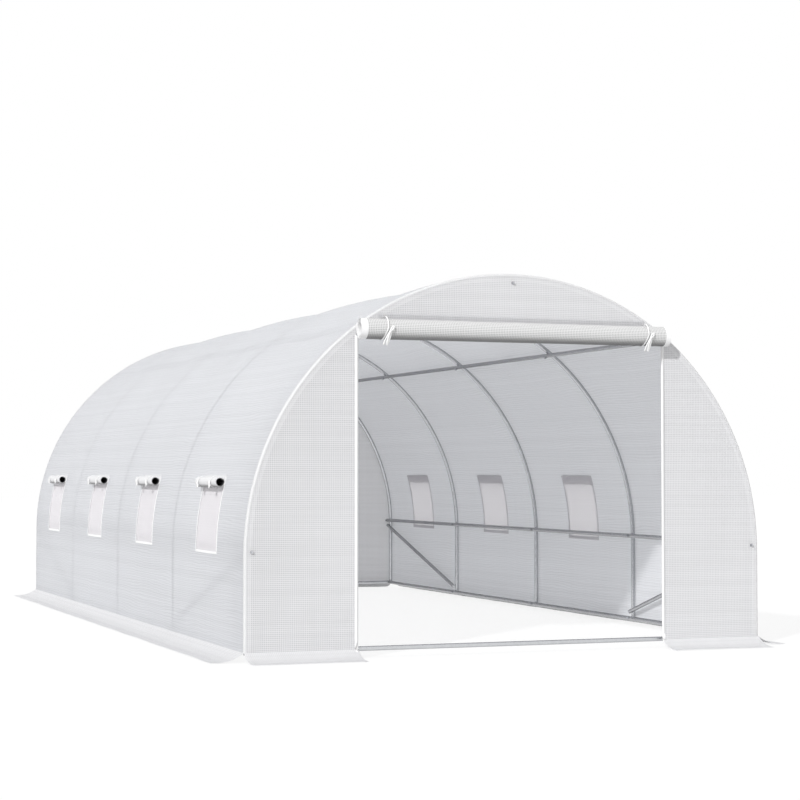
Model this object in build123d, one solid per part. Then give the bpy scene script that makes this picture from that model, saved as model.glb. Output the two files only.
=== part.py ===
"""Polytunnel greenhouse: five bent-tube hoops under one translucent woven cover.

Millimetres. x runs across the tunnel, y along it with the doorway facing -y, z up.
The origin is on the ground, under the middle of the tunnel.
"""
import os
from math import asin, cos, degrees, pi, radians, sin, sqrt

from build123d import *

# Overall sizes
tunnel_length = 5950
tunnel_width = 3000
wall_height = 490  # straight part of the side walls, above the base rails
rail_height = 50  # centre line of the base rails above the ground
bay_count = 4

# Steel tubes
tube_diameter = 25
hoop_sides = 12  # a hoop's tube is drawn with this many narrow sides, its corners on the tube's circle
seat_gap = 0.3  # between a curved face and the piece that it seats on

# Cover sheets
cover_thickness = 2
cover_sag = 25  # how far the ridge of the cover sinks halfway between two hoops
sag_steps = 4  # straight strips between two hoops that the sunken cover is made of

# Purlins, as angles of the arch from the springing line
mid_purlin_angle = 1.2
upper_purlin_angle = 52.6
ridge_angle = 90

# Diagonal braces of the two end bays
brace_end_drop = 42  # bolt of the upper end, below the mid purlin
brace_end_rise = 42  # bolt of the lower end, above the base rail

# Doorway, cut up to a straight head that hides behind the rolled-up door leaf
doorway_width = 1780
doorway_offset = 5
doorway_height = 1640  # above the base rails
door_roll_diameter = 122
door_roll_overlap = 10  # of the roll past each side of the doorway
door_roll_rise = 33  # centre line of the roll above the head of the doorway
door_leaf_spare = 80  # of the leaf that lies on the ground when it is let down
door_sheet_thickness = 2
door_layer_gap = 1.4  # air between two turns of the roll
door_seam_rise = 22  # sewn edge of the leaf above the top of the roll

# Windows, one in the middle of each bay on both sides
window_width = 420
window_sill = 495  # above the base rails
window_head = 880
screen_overlap = 25  # screen cloth past the window's edge, all round
screen_thickness = 1
window_roll_diameter = 60
window_roll_overlap = 5  # of the roll past each side of the window
window_roll_drop = 18  # centre line of the roll below the head of the window
window_flap_wound = 145  # outermost turn of the flap, which holds the rest wound tight
window_flap_thickness = 8  # of the tight layers together
window_layer_gap = 1
window_seam_rise = 14

# Ties that hold the rolls up
door_tie_inset = 141  # from each end of the roll
window_tie_inset = 90
tie_width = 12
tie_thickness = 1
tie_sides = 12  # a tie is drawn with this many flat stretches round its roll
tie_wall_gap = 10  # the ends of a tie stop this far from the wall

# Ground flaps, flaring outwards from the seam at rail height
flap_flare = 140  # the curved part, measured outwards from the wall
flap_lip = 35  # the level part at the free edge, which rests on the ground
flap_corner_radius = 18
notch_overrun = 1  # how far the cut of a rounded corner starts outside the flap
lower_edge = rail_height - cover_thickness

# Places that follow from these sizes
half_width = tunnel_width / 2
spring_z = rail_height + wall_height
tube_radius = tube_diameter / 2
hoop_radius = half_width - cover_thickness - seat_gap - tube_radius
purlin_radius = hoop_radius - tube_diameter - seat_gap
front_y = -tunnel_length / 2
back_y = tunnel_length / 2
end_inset = cover_thickness + seat_gap + tube_radius
bay_length = (tunnel_length - 2 * end_inset) / bay_count
hoop_ys = [front_y + end_inset + bay * bay_length for bay in range(bay_count + 1)]
cover_ys = [front_y + cover_thickness] + hoop_ys[1:-1] + [back_y - cover_thickness]
purlin_length = tunnel_length - 2 * (cover_thickness + seat_gap)
SIDES = {"left": -1, "right": 1}

os.makedirs("parts", exist_ok=True)


def save(node, *solids):
    """Write one named piece, or several like ones that share a node."""
    shape = solids[0] if len(solids) == 1 else Compound(children=list(solids))
    export_step(shape, f"parts/{node}.step")


def upright(y):
    """Drawing plane across the tunnel: its x is the tunnel's x and its y is height."""
    return Plane(origin=(0, y, 0), x_dir=(1, 0, 0), z_dir=(0, -1, 0))


def tube(start, end):
    """Straight round tube between two points of its centre line."""
    axis = Line(start, end)
    section = Plane(origin=start, z_dir=axis % 0) * Circle(tube_radius)
    return sweep(section, path=axis)


def on_arch(radius, angle, y):
    """Point on the arch at this radius, from the springing line on the right side."""
    x = radius * cos(radians(angle))
    z = spring_z + radius * sin(radians(angle))
    return (x, y, z)


def sunk_by(share):
    """How far the ridge has sunk at this share of a bay: rounded over the hoops, lowest halfway."""
    return cover_sag * (1 - abs(cos(pi * share)))


def sagged_radius(angle, y_from_middle):
    """Outer radius of the cover at this angle and distance from the middle of a bay."""
    rise = half_width - sunk_by(0.5 - y_from_middle / bay_length)
    flat = cos(radians(angle)) / half_width
    steep = sin(radians(angle)) / rise
    return 1 / sqrt(flat**2 + steep**2)


# Frame: hoops bent from one tube each, cut off level with the underside of the base rails
def hoop(y):
    leg_end = rail_height - tube_radius
    right_leg = Line((hoop_radius, y, leg_end), (hoop_radius, y, spring_z))
    arch = ThreePointArc(
        (hoop_radius, y, spring_z),
        (0, y, spring_z + hoop_radius),
        (-hoop_radius, y, spring_z),
    )
    left_leg = Line((-hoop_radius, y, spring_z), (-hoop_radius, y, leg_end))
    path = Wire([right_leg, arch, left_leg])
    section = Pos(hoop_radius, y, leg_end) * RegularPolygon(tube_radius, hoop_sides)
    return sweep(section, path=path)


for number, hoop_y in enumerate(hoop_ys, start=1):
    save(f"hoop_{number}", hoop(hoop_y))


# Frame: long tubes, all bolted to the inner side of the hoops
def long_tube(x, z):
    half = purlin_length / 2
    return tube((x, -half, z), (x, half, z))


for side, sign in SIDES.items():
    save(f"base_rail_{side}", long_tube(sign * purlin_radius, rail_height))
    for name, angle in (("mid", mid_purlin_angle), ("upper", upper_purlin_angle)):
        x, _, z = on_arch(purlin_radius, angle, 0)
        save(f"{name}_purlin_{side}", long_tube(sign * x, z))
save("ridge_purlin", long_tube(0, on_arch(purlin_radius, ridge_angle, 0)[2]))

# Frame: bars across the two ends, between the side rails
cross_half = purlin_radius - tube_radius - seat_gap
cross_step = tube_diameter + seat_gap
for node, y in (
    ("threshold_bar", hoop_ys[0] + cross_step),
    ("base_rail_back", hoop_ys[-1] - cross_step),
):
    save(node, tube((-cross_half, y, rail_height), (cross_half, y, rail_height)))

# Frame: one diagonal brace on each side of both end bays
brace_top = on_arch(purlin_radius, mid_purlin_angle, 0)[2] - brace_end_drop
brace_foot = rail_height + brace_end_rise
for side, sign in SIDES.items():
    x = sign * purlin_radius
    front_brace = tube((x, hoop_ys[0], brace_top), (x, hoop_ys[1], brace_foot))
    back_brace = tube((x, hoop_ys[-1], brace_top), (x, hoop_ys[-2], brace_foot))
    save(f"braces_{side}", front_brace, back_brace)


# Cover: sheets of the side walls and the roof, sinking between the hoops
def arch_strip(y, sink, from_angle, to_angle):
    """Cross-section of the cover between two angles, sunk by this much at the ridge."""
    sweep_angle = to_angle - from_angle
    outer = EllipticalCenterArc(
        (0, spring_z), half_width, half_width - sink, from_angle, arc_size=sweep_angle
    )
    inner = EllipticalCenterArc(
        (0, spring_z),
        half_width - cover_thickness,
        half_width - cover_thickness - sink,
        from_angle,
        arc_size=sweep_angle,
    )
    ends = [Line(outer @ 0, inner @ 0), Line(outer @ 1, inner @ 1)]
    return upright(y) * make_face([outer, inner] + ends)


def arch_sheet(start_y, end_y, from_angle, to_angle):
    """One bay of cover between two angles, lofted over its sunken middle."""
    strips = []
    for step in range(sag_steps + 1):
        share = step / sag_steps
        y = start_y + share * (end_y - start_y)
        strips.append(arch_strip(y, sunk_by(share), from_angle, to_angle))
    return loft(strips, ruled=True)


def wall_sheet(start_y, end_y, window_y):
    """One bay of a right-hand side wall, with its window cut through."""
    plate_height = spring_z - lower_edge
    plate = Pos(
        half_width - cover_thickness / 2,
        (start_y + end_y) / 2,
        lower_edge + plate_height / 2,
    ) * Box(cover_thickness, end_y - start_y, plate_height)
    curved = arch_sheet(start_y, end_y, 0, upper_purlin_angle)
    window_middle = rail_height + (window_sill + window_head) / 2
    window = Pos(half_width, window_y, window_middle) * Box(
        half_width / 2, window_width, window_head - window_sill
    )
    return plate + curved - window


window_ys = [(hoop_ys[bay] + hoop_ys[bay + 1]) / 2 for bay in range(bay_count)]
for bay in range(bay_count):
    start_y, end_y = cover_ys[bay], cover_ys[bay + 1]
    right_wall = wall_sheet(start_y, end_y, window_ys[bay])
    save(f"wall_right_{bay + 1}", right_wall)
    save(f"wall_left_{bay + 1}", mirror(right_wall, about=Plane.YZ))
    roof = arch_sheet(start_y, end_y, upper_purlin_angle, 180 - upper_purlin_angle)
    save(f"roof_{bay + 1}", roof)

# Cover: flat end walls, cut to the arch
wall_part = Pos(0, (lower_edge + spring_z) / 2) * Rectangle(
    tunnel_width, spring_z - lower_edge
)
end_outline = wall_part + Pos(0, spring_z) * Circle(half_width)
end_outline &= Pos(0, lower_edge + tunnel_width) * Rectangle(
    2 * tunnel_width, 2 * tunnel_width
)
back_panel = extrude(upright(back_y) * end_outline, amount=cover_thickness, dir=(0, -1, 0))
save("back_panel", back_panel)

head_z = rail_height + doorway_height
jamb_left = doorway_offset - doorway_width / 2
jamb_right = doorway_offset + doorway_width / 2


def front_sheet(low, high):
    """Part of the front wall between two corners of a rectangle."""
    width, height = high[0] - low[0], high[1] - low[1]
    window = Pos((low[0] + high[0]) / 2, (low[1] + high[1]) / 2) * Rectangle(width, height)
    face = upright(front_y + cover_thickness) * (end_outline & window)
    return extrude(face, amount=cover_thickness, dir=(0, -1, 0))


save("front_panel_left", front_sheet((-tunnel_width, 0), (jamb_left, head_z)))
save("front_panel_right", front_sheet((jamb_right, 0), (tunnel_width, head_z)))
save("front_gable", front_sheet((-tunnel_width, head_z), (tunnel_width, 2 * tunnel_width)))


# Cover: flaps that flare out from the seam and end level on the ground
flap_reach = flap_flare + flap_lip
flap_radius = (flap_flare**2 + lower_edge**2) / (2 * lower_edge)


def flap_curve(radius):
    """Side view of the flared part of one face of a flap, from the wall to the lip."""
    span = degrees(asin(flap_flare / radius))
    return CenterArc((flap_flare, flap_radius), radius, 270 - span, span)


def flap(corner, out, length):
    """Ground flap from a corner of the wall's foot, running to the left seen from outside.

    out is the direction away from the wall. The free corners are rounded.
    """
    along = Vector(out).cross(Vector(0, 0, 1))
    under = flap_curve(flap_radius)
    upper = flap_curve(flap_radius - cover_thickness)
    lip_under = Line(under @ 1, (flap_reach, 0))
    lip_upper = Line(upper @ 1, (flap_reach, cover_thickness))
    ends = [Line(under @ 0, upper @ 0), Line(lip_under @ 1, lip_upper @ 1)]
    section = make_face([under, lip_under, upper, lip_upper] + ends)
    side_on = Plane(origin=corner, x_dir=out, z_dir=along)
    flared = extrude(side_on * section, amount=length, dir=along)
    from_above = Plane(origin=corner, x_dir=along, z_dir=(0, 0, 1))
    square_side = flap_corner_radius + notch_overrun
    square_middle = (flap_corner_radius - notch_overrun) / 2
    for end, inwards in ((0, 1), (length, -1)):
        square = Rectangle(square_side, square_side)
        square = Pos(end + inwards * square_middle, flap_reach - square_middle) * square
        round_part = Pos(
            end + inwards * flap_corner_radius, flap_reach - flap_corner_radius
        ) * Circle(flap_corner_radius)
        notch = from_above * (square - round_part)
        flared -= extrude(notch, amount=rail_height, both=True)
    return flared


save("skirt_right", flap((half_width, back_y, 0), (1, 0, 0), tunnel_length))
save("skirt_left", flap((-half_width, front_y, 0), (-1, 0, 0), tunnel_length))
save("skirt_back", flap((-half_width, back_y, 0), (0, 1, 0), tunnel_width))
save("skirt_front_left", flap((jamb_left, front_y, 0), (0, -1, 0), jamb_left + half_width))
save("skirt_front_right", flap((half_width, front_y, 0), (0, -1, 0), half_width - jamb_right))


# Rolled-up sheets: a spiral of half circles, each smaller than the one before
def wound_sheet(radius, thickness, layer_gap, sheet_length, seam_rise):
    """Section of a roll whose sheet comes down a wall at x = 0 and winds up in front of it.

    The roll's centre is on the x axis, one radius and the seat gap from the wall.
    """
    centre = seat_gap + radius
    pitch = thickness + layer_gap
    outer_edge, inner_edge, wound, turn = [], [], 0, 0
    while wound < sheet_length:
        size = radius - turn * pitch / 2
        middle = centre + (turn % 2) * pitch / 2
        start = 180 + 180 * (turn % 2)
        outer_edge.append(CenterArc((middle, 0), size, start, 180))
        inner_edge.append(CenterArc((middle, 0), size - thickness, start, 180))
        wound += pi * (size - thickness / 2)
        turn += 1
    top = radius + seam_rise
    tail = [
        Line((seat_gap, 0), (seat_gap, top)),
        Line((seat_gap, top), (seat_gap + thickness, top)),
        Line((seat_gap + thickness, top), (seat_gap + thickness, 0)),
    ]
    last = Line(outer_edge[-1] @ 1, inner_edge[-1] @ 1)
    return make_face(outer_edge + inner_edge + tail + [last])


roll_z = head_z + door_roll_rise
door_roll_length = doorway_width + 2 * door_roll_overlap
door_roll_right = jamb_right + door_roll_overlap


def along_door(section, right_end, length):
    """Piece with this section on the front wall, running to the left at the roll's height."""
    seat = Plane(origin=(right_end, front_y, roll_z), x_dir=(0, -1, 0), z_dir=(-1, 0, 0))
    return extrude(seat * section, amount=length, dir=(-1, 0, 0))


door_section = wound_sheet(
    door_roll_diameter / 2,
    door_sheet_thickness,
    door_layer_gap,
    doorway_height + door_leaf_spare,
    door_seam_rise,
)
save("door_roll", along_door(door_section, door_roll_right, door_roll_length))


# Ties round a roll, open towards the wall that it hangs on
def tie_section(radius):
    """Section of a flat tie hugging a roll of this radius, whose wall is at x = 0."""
    outer = RegularPolygon(radius + seat_gap + tie_thickness, tie_sides, major_radius=False)
    inner = RegularPolygon(radius + seat_gap, tie_sides, major_radius=False)
    beyond_wall_gap = Pos(tie_wall_gap + 2 * radius, 0) * Rectangle(4 * radius, 4 * radius)
    return Pos(seat_gap + radius, 0) * (outer - inner) & beyond_wall_gap


door_ties = []
for inset in (door_tie_inset, door_roll_length - door_tie_inset):
    tie_right = door_roll_right - inset + tie_width / 2
    door_ties.append(along_door(tie_section(door_roll_diameter / 2), tie_right, tie_width))
save("door_ties", *door_ties)


# Windows: screen cloth inside the opening, and the flap rolled up above it
def window_screen(y):
    """Screen of a right-hand window, sewn to the inner face of the sunken cover."""
    low = window_sill - wall_height - screen_overlap
    high = window_head - wall_height + screen_overlap
    outer_x = half_width - cover_thickness - seat_gap
    outer_z = outer_x - cover_sag
    arched = Ellipse(outer_x, outer_z)
    arched -= Ellipse(outer_x - screen_thickness, outer_z - screen_thickness)
    arched &= Pos(outer_x, high / 2) * Rectangle(outer_x, high)
    straight = Pos(outer_x - screen_thickness / 2, low / 2) * Rectangle(
        screen_thickness, -low
    )
    width = window_width + 2 * screen_overlap
    face = upright(y + width / 2) * (Pos(0, spring_z) * (arched + straight))
    return extrude(face, amount=width, dir=(0, -1, 0))


window_roll_radius = window_roll_diameter / 2
window_roll_length = window_width + 2 * window_roll_overlap
roll_angle = degrees(asin((window_head - window_roll_drop - wall_height) / half_width))
roll_seat = sagged_radius(roll_angle, window_roll_length / 2)
window_section = wound_sheet(
    window_roll_radius,
    window_flap_thickness,
    window_layer_gap,
    window_flap_wound,
    window_seam_rise,
)


def along_window(section, end_y, length):
    """Right-hand piece with this section, seated on the arch and running to the front."""
    outwards = (cos(radians(roll_angle)), 0, sin(radians(roll_angle)))
    seat = Plane(
        origin=on_arch(roll_seat, roll_angle, end_y), x_dir=outwards, z_dir=(0, -1, 0)
    )
    return extrude(seat * section, amount=length, dir=(0, -1, 0))


screens, rolls, ties = [], [], []
tie_reach = window_roll_length / 2 - window_tie_inset
for window_y in window_ys:
    roll_end = window_y + window_roll_length / 2
    screens.append(window_screen(window_y))
    rolls.append(along_window(window_section, roll_end, window_roll_length))
    for spot in (window_y - tie_reach, window_y + tie_reach):
        ties.append(along_window(tie_section(window_roll_radius), spot + tie_width / 2, tie_width))
for node, pieces in (("screens", screens), ("rolls", rolls), ("ties", ties)):
    save(f"window_{node}_right", *pieces)
    save(f"window_{node}_left", *[mirror(piece, about=Plane.YZ) for piece in pieces])
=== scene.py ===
from math import acos, asin, ceil, cos, dist, pi, radians, sin, sqrt

import bmesh
import bpy
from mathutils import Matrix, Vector, noise


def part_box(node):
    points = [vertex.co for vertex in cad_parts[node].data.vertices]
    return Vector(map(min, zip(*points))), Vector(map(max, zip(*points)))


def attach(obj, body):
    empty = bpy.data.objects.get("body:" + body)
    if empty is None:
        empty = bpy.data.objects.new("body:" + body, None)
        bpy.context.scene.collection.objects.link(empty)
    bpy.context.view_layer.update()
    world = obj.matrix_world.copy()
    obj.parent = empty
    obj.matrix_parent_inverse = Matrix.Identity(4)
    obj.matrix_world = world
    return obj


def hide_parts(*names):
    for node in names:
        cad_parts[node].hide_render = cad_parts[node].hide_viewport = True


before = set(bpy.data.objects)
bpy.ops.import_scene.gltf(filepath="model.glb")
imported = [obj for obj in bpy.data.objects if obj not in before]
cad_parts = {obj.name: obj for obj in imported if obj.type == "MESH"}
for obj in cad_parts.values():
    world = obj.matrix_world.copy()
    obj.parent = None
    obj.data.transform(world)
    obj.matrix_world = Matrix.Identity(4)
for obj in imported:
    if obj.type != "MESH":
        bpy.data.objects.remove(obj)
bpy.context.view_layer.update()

# Studio: a white room with a pale floor. One lamp shines from the front left, as high as it is
# far back, and the rest of the light comes evenly from all round.
camera_place = (-4.2919, -12.7035, 0.9654)
camera_tilt = 0.0371  # upwards, in radians
camera_turn = -0.3581  # to the right, in radians
camera_lens = 88.83
sensor_width = 36
sun_direction = (1.05, 1, -0.9)
sun_strength = 2.65
sun_width = 0.045
room_light = 0.65
white = (1, 1, 1, 1)
floor_reach = 60
floor_drop = 0.001  # below the ground flaps, so that the two faces stay apart
floor_colour = (0.68, 0.68, 0.68, 1)
floor_glow = 0.85  # share of the floor that shows plain white


def add_node(tree, kind, sockets=None, **settings):
    """Places a node. A value that is a socket, or a node for its first output, is linked."""
    made = tree.nodes.new(kind)
    for name, value in settings.items():
        setattr(made, name, value)
    for name, value in (sockets or {}).items():
        if isinstance(value, bpy.types.Node):
            value = value.outputs[0]
        if isinstance(value, bpy.types.NodeSocket):
            tree.links.new(value, made.inputs[name])
        else:
            made.inputs[name].default_value = value
    return made


def maths(tree, operation, *values):
    """Node with the result of one sum."""
    return add_node(tree, "ShaderNodeMath", dict(enumerate(values)), operation=operation)


def mix_shaders(tree, share, first, second):
    """Shader that is the first one, with this share of the second."""
    return add_node(tree, "ShaderNodeMixShader", {0: share, 1: first, 2: second})


def new_material(name):
    """Empty material and its node tree."""
    material = bpy.data.materials.new(name)
    material.use_nodes = True
    material.node_tree.nodes.clear()
    return material, material.node_tree


def show(tree, shader):
    """Makes this shader the material's surface."""
    add_node(tree, "ShaderNodeOutputMaterial", {"Surface": shader})


def seen_directly(tree):
    """1 for rays from the eye, a reflection or glass, and 0 for the light itself."""
    path = add_node(tree, "ShaderNodeLightPath").outputs
    passed_on = maths(tree, "MAXIMUM", path["Is Glossy Ray"], path["Is Transmission Ray"])
    return maths(tree, "MAXIMUM", path["Is Camera Ray"], passed_on)


def new_object(name, data):
    """Object with this data, placed in the scene."""
    made = bpy.data.objects.new(name, data)
    scene.collection.objects.link(made)
    return made


scene = bpy.context.scene
scene.view_settings.view_transform = "Standard"
camera_data = bpy.data.cameras.new("camera")
camera_data.lens = camera_lens
camera_data.sensor_width = sensor_width
camera = new_object("camera", camera_data)
camera.location = camera_place
camera.rotation_euler = (pi / 2 + camera_tilt, 0, camera_turn)
scene.camera = camera

sun_data = bpy.data.lights.new("sun", "SUN")
sun_data.energy = sun_strength
sun_data.angle = sun_width
sun = new_object("sun", sun_data)
sun.rotation_mode = "QUATERNION"
sun.rotation_quaternion = Vector(sun_direction).to_track_quat("-Z", "Y")

room = bpy.data.worlds.new("room")
room.use_nodes = True
tree = room.node_tree
tree.nodes.clear()
lit = add_node(tree, "ShaderNodeBackground", {"Color": white, "Strength": room_light})
plain = add_node(tree, "ShaderNodeBackground", {"Color": white, "Strength": 1})
room_shader = mix_shaders(tree, seen_directly(tree), lit, plain)
add_node(tree, "ShaderNodeOutputWorld", {"Surface": room_shader})
scene.world = room

floor_mesh = bpy.data.meshes.new("floor")
square = [(-1, -1), (1, -1), (1, 1), (-1, 1)]
floor_mesh.from_pydata(
    [(x * floor_reach, y * floor_reach, -floor_drop) for x, y in square], [], [(0, 1, 2, 3)]
)
floor = new_object("floor", floor_mesh)
floor_material, tree = new_material("pale_floor")
matt = add_node(tree, "ShaderNodeBsdfDiffuse", {"Color": floor_colour})
shaded = add_node(tree, "ShaderNodeBsdfDiffuse", {"Color": white})
glow = add_node(tree, "ShaderNodeEmission", {"Color": white, "Strength": 1})
seen_floor = mix_shaders(tree, floor_glow, shaded, glow)
show(tree, mix_shaders(tree, seen_directly(tree), matt, seen_floor))
floor_mesh.materials.append(floor_material)

# Steel frame: galvanised tubes of 25 mm. Each hoop is one tube bent to a half circle over two
# straight legs, and the long tubes lie along the hoops' inner side.
zinc_light = (0.68, 0.69, 0.71, 1)
zinc_dark = (0.55, 0.56, 0.58, 1)
# Painted shade: the colour darkens towards a tube's outline, where its surface turns away from the
# eye.
zinc_outline_shade = (0.13, 0.13, 0.14, 1)  # towards the outline of a tube
zinc_bloom_size = 34  # patches of zinc bloom in a metre
zinc_roughness = (0.16, 0.24)
draw_line_size = 900  # fine lines in a metre, left along the tube by the rolls
draw_line_depth = 0.00004
edge_sharpness = 1.5


def mix_colours(tree, share, first, second, blend="MIX"):
    """Colour that is the first one, with this share of the second."""
    made = add_node(tree, "ShaderNodeMix", {0: share, 6: first, 7: second}, data_type="RGBA")
    made.blend_type = blend
    return made.outputs[2]


def new_group(name, inputs, outputs):
    """Empty shader group with these sockets, and what goes into it."""
    group = bpy.data.node_groups.new(name, "ShaderNodeTree")
    for names, way in ((inputs, "INPUT"), (outputs, "OUTPUT")):
        for socket, kind in names.items():
            group.interface.new_socket(name=socket, in_out=way, socket_type=f"NodeSocket{kind}")
    return group, add_node(group, "NodeGroupInput").outputs


def speckle(tree, place, size, detail=2):
    """Even noise with this many spots in a metre."""
    sockets = {"Vector": place, "Scale": size, "Detail": detail}
    return add_node(tree, "ShaderNodeTexNoise", sockets)


def ramp(tree, value, low, high, start=0, end=1, kind="LINEAR"):
    """Value that goes from start to end while the one given goes from low to high."""
    sockets = {"Value": value, "From Min": low, "From Max": high, "To Min": start, "To Max": end}
    return add_node(tree, "ShaderNodeMapRange", sockets, interpolation_type=kind)


def surface_of(tree, colour, roughness, height, depth, metallic=0):
    """Surface with this relief."""
    relief = add_node(tree, "ShaderNodeBump", {"Height": height, "Distance": depth})
    sockets = {
        "Base Color": colour, "Roughness": roughness, "Metallic": metallic, "Normal": relief,
    }
    return add_node(tree, "ShaderNodeBsdfPrincipled", sockets)


zinc_group, given = new_group(
    "zinc_bloom",
    {"Vector": "Vector", "Light": "Color", "Dark": "Color"},
    {"Colour": "Color", "Roughness": "Float", "Height": "Float"},
)
bloom = speckle(zinc_group, given["Vector"], zinc_bloom_size, detail=5)
zinc_result = {
    "Colour": mix_colours(zinc_group, bloom, given["Light"], given["Dark"]),
    "Roughness": ramp(zinc_group, bloom, 0, 1, *zinc_roughness),
    "Height": speckle(zinc_group, given["Vector"], draw_line_size),
}
add_node(zinc_group, "NodeGroupOutput", zinc_result)


def use_group(tree, group, sockets):
    """Places a shader group and gives its outputs."""
    return add_node(tree, "ShaderNodeGroup", sockets, node_tree=group).outputs


def zinc_material(name, light, dark):
    """Galvanised steel, with painted shade towards the outline."""
    material, tree = new_material(name)
    place = add_node(tree, "ShaderNodeTexCoord").outputs["Object"]
    zinc = use_group(tree, zinc_group, {"Vector": place, "Light": light, "Dark": dark})
    # Painted shade, darker as the surface turns away from the eye.
    facing = add_node(tree, "ShaderNodeLayerWeight", {"Blend": 0.5}).outputs["Facing"]
    turned_away = maths(tree, "POWER", facing, edge_sharpness)
    colour = mix_colours(tree, turned_away, zinc["Colour"], zinc_outline_shade)
    relief = (zinc["Height"], draw_line_depth)
    show(tree, surface_of(tree, colour, zinc["Roughness"], *relief, metallic=0.9))
    return material


tube_zinc = zinc_material("galvanised_tube", zinc_light, zinc_dark)
tube_words = ("hoop_", "base_rail_", "purlin", "braces_", "threshold_bar")
for node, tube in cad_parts.items():
    if any(word in node for word in tube_words):
        for slot in tube.material_slots:
            slot.material = tube_zinc

# Bolts: each long tube is bolted to every hoop it crosses. The nut and the end of the bolt
# show on the inner side, on a washer. A bolt into each tube's end holds the end wall.
bolt_sizes = {
    "Nut Radius": 0.0075,
    "Nut Height": 0.006,
    "Washer Radius": 0.0095,
    "Washer Height": 0.0015,
    "Bolt Radius": 0.0035,
    "Bolt End": 0.012,
}
bolt_zinc_light = (0.72, 0.73, 0.75, 1)
bolt_zinc_dark = (0.5, 0.51, 0.54, 1)
end_bolt_drop = 0.009  # below the middle of the tube
end_bolt_lift = 0.0012  # out from the end wall


def middle_of(node):
    """Middle of a node's box."""
    low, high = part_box(node)
    return (low + high) / 2


ridge_low, ridge_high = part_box("ridge_purlin")
tube_radius = (ridge_high.x - ridge_low.x) / 2
hoop_ys = [middle_of(f"hoop_{number}").y for number in range(1, 6)]
back_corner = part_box("back_panel")[1]
spring_z = back_corner.z - back_corner.x


def new_growth(name, sizes):
    """Empty Geometry Nodes tree with a mesh and these named sizes going in."""
    tree = bpy.data.node_groups.new(name, "GeometryNodeTree")
    socket = tree.interface.new_socket
    socket(name="Mesh", in_out="INPUT", socket_type="NodeSocketGeometry")
    for size in sizes:
        socket(name=size, in_out="INPUT", socket_type="NodeSocketFloat")
    socket(name="Material", in_out="INPUT", socket_type="NodeSocketMaterial")
    socket(name="Mesh", in_out="OUTPUT", socket_type="NodeSocketGeometry")
    return tree, add_node(tree, "NodeGroupInput").outputs


def end_growth(tree, instances, material):
    """Makes the instances real, gives them their material and ends the tree."""
    real = add_node(tree, "GeometryNodeRealizeInstances", {"Geometry": instances})
    sockets = {"Geometry": real, "Material": material}
    add_node(tree, "NodeGroupOutput", {"Mesh": add_node(tree, "GeometryNodeSetMaterial", sockets)})


def grow(name, base, tree, values):
    """Plain mesh piece that the tree makes of a base mesh."""
    piece = new_object(name, base)
    modifier = piece.modifiers.new("grow", "NODES")
    modifier.node_group = tree
    for socket in tree.interface.items_tree:
        if socket.item_type == "SOCKET" and socket.name in values:
            modifier[socket.identifier] = values[socket.name]
    seen = piece.evaluated_get(bpy.context.evaluated_depsgraph_get())
    mesh = bpy.data.meshes.new_from_object(seen)
    piece.modifiers.remove(modifier)
    piece.data = mesh
    return piece


def finish_piece(piece):
    """The piece belongs to the greenhouse."""
    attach(piece, "root")
    return piece


def pointed(places):
    """Mesh of single points, each with the way that it faces."""
    mesh = bpy.data.meshes.new("points")
    mesh.from_pydata([place for place, _ in places], [], [])
    facing = mesh.attributes.new("facing", "FLOAT_VECTOR", "POINT")
    for item, (_, way) in zip(facing.data, places):
        item.vector = way
    return mesh


tree, given = new_growth("bolts", bolt_sizes)
sockets = {"Name": "facing"}
facing = add_node(tree, "GeometryNodeInputNamedAttribute", sockets, data_type="FLOAT_VECTOR")
turned = add_node(tree, "FunctionNodeAlignRotationToVector", {"Vector": facing}, axis="Z")
stack = add_node(tree, "GeometryNodeJoinGeometry")
for sides, radius, height, foot in (
    (12, "Washer Radius", "Washer Height", None),
    (6, "Nut Radius", "Nut Height", "Washer Height"),
    (8, "Bolt Radius", "Bolt End", None),
):
    sockets = {"Vertices": sides, "Radius": given[radius], "Depth": given[height]}
    disc = add_node(tree, "GeometryNodeMeshCylinder", sockets)
    rise = maths(tree, "MULTIPLY", given[height], 0.5)
    if foot:
        rise = maths(tree, "ADD", rise, given[foot])
    shift = add_node(tree, "ShaderNodeCombineXYZ", {"Z": rise})
    raised = add_node(tree, "GeometryNodeTransform", {"Geometry": disc, "Translation": shift})
    tree.links.new(raised.outputs[0], stack.inputs[0])
sockets = {"Points": given["Mesh"], "Instance": stack, "Rotation": turned}
bolted = add_node(tree, "GeometryNodeInstanceOnPoints", sockets)
end_growth(tree, bolted, given["Material"])

bolt_places = []
for node in (
    "base_rail_left", "base_rail_right", "mid_purlin_left", "mid_purlin_right",
    "upper_purlin_left", "upper_purlin_right", "ridge_purlin",
):
    tube_middle = middle_of(node)
    if not node.startswith("base"):
        for way in (-1, 1):
            end_y = (back_corner.y + end_bolt_lift) * way
            end_place = Vector((tube_middle.x, end_y, tube_middle.z - end_bolt_drop))
            bolt_places.append((end_place, Vector((0, way, 0))))
    inwards = Vector((-tube_middle.x, 0, min(0, spring_z - tube_middle.z))).normalized()
    for hoop_y in hoop_ys:
        crossing = Vector((tube_middle.x, hoop_y, tube_middle.z))
        bolt_places.append((crossing + inwards * tube_radius, inwards))
bolt_zinc = zinc_material("bolt_zinc", bolt_zinc_light, bolt_zinc_dark)
bolt_values = {**bolt_sizes, "Material": bolt_zinc}
finish_piece(grow("frame_bolts", pointed(bolt_places), tree, bolt_values))

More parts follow.
